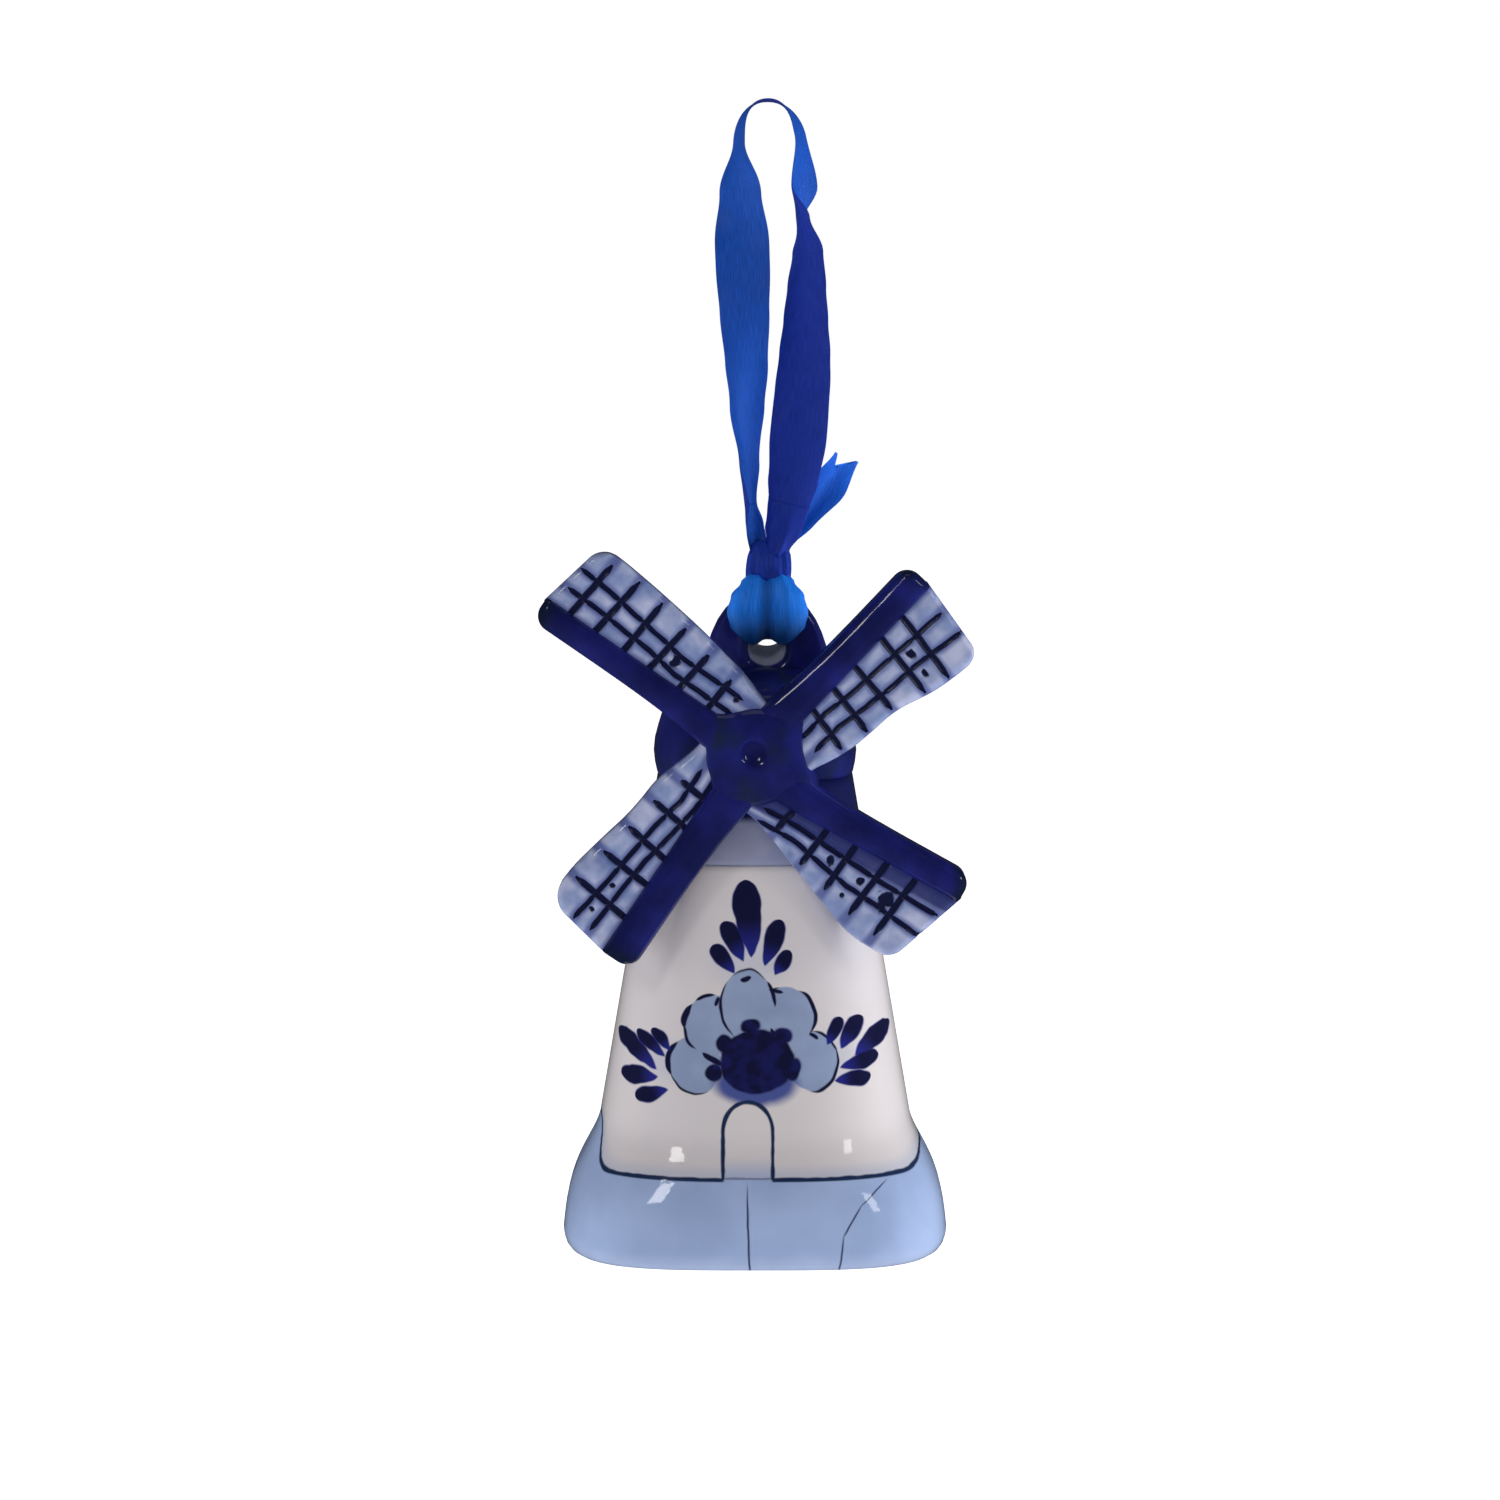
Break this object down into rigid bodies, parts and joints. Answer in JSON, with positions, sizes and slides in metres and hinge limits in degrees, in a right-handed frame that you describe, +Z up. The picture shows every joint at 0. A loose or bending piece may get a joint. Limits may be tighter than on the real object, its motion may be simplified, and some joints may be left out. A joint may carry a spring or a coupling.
{
  "type": "hanging windmill bell",
  "caption": "Blue-and-white porcelain bell shaped like a windmill, with fixed sails, a swinging clapper inside, and a satin ribbon loop to hang it by.",
  "frame": {"origin": "the hanging point, inside the top of the ribbon loop", "axes": "+Z up along the hanging line, -Y out of the front with the sails, +X to the right seen from the front"},
  "size_m": [0.0493, 0.046, 0.137],
  "materials": {
    "white_porcelain": "glossy transparent glaze over white porcelain",
    "tinted_porcelain": "thin cobalt wash under gloss glaze",
    "cobalt_porcelain": "dense cobalt under gloss glaze",
    "clapper_bead": "glazed bead",
    "clapper_wire": "drawn wire",
    "satin_ribbon": "satin"
  },
  "bodies": {
    "ribbon": {"ribbon_loop": "satin_ribbon"},
    "neck": {"ribbon_neck": "satin_ribbon", "ribbon_tail": "satin_ribbon"},
    "knot": {"ribbon_knot": "satin_ribbon"},
    "bell": {"plinth": "tinted_porcelain", "tower_wall": "white_porcelain", "cap_collar": "tinted_porcelain", "mill_cap": "cobalt_porcelain", "hanging_lug": "cobalt_porcelain", "hub_boss": "cobalt_porcelain", "spar_upper_left": "cobalt_porcelain", "spar_upper_right": "cobalt_porcelain", "spar_lower_right": "cobalt_porcelain", "spar_lower_left": "cobalt_porcelain", "lattice_upper_left": "tinted_porcelain", "lattice_upper_right": "tinted_porcelain", "lattice_lower_right": "tinted_porcelain", "lattice_lower_left": "tinted_porcelain", "clapper_bar": "white_porcelain", "ribbon_hitch": "satin_ribbon"},
    "clapper_link": {"clapper_ring": "clapper_wire"},
    "clapper": {"clapper_wire": "clapper_wire", "clapper_bead": "clapper_bead", "clapper_stop": "clapper_wire"}
  },
  "joints": [
    {"name": "ribbon_twist", "type": "hinge", "parent": "ribbon", "child": "neck", "pos_m": [0, 0, -0.0466], "axis": [0, 0, 1], "range_deg": [-60, 60]},
    {"name": "bell_swing_fore_aft", "type": "hinge", "parent": "neck", "child": "knot", "pos_m": [0, 0, -0.0538], "axis": [1, 0, 0], "range_deg": [-30, 30]},
    {"name": "bell_swing_sideways", "type": "hinge", "parent": "knot", "child": "bell", "pos_m": [0, 0, -0.0538], "axis": [0, 1, 0], "range_deg": [-30, 30]},
    {"name": "clapper_swing_fore_aft", "type": "hinge", "parent": "bell", "child": "clapper_link", "pos_m": [-0.0014, 0, -0.085], "axis": [1, 0, 0], "range_deg": [-13, 13]},
    {"name": "clapper_swing_sideways", "type": "hinge", "parent": "clapper_link", "child": "clapper", "pos_m": [-0.0014, 0, -0.08934], "axis": [0, 1, 0], "range_deg": [-13, 13]}
  ]
}
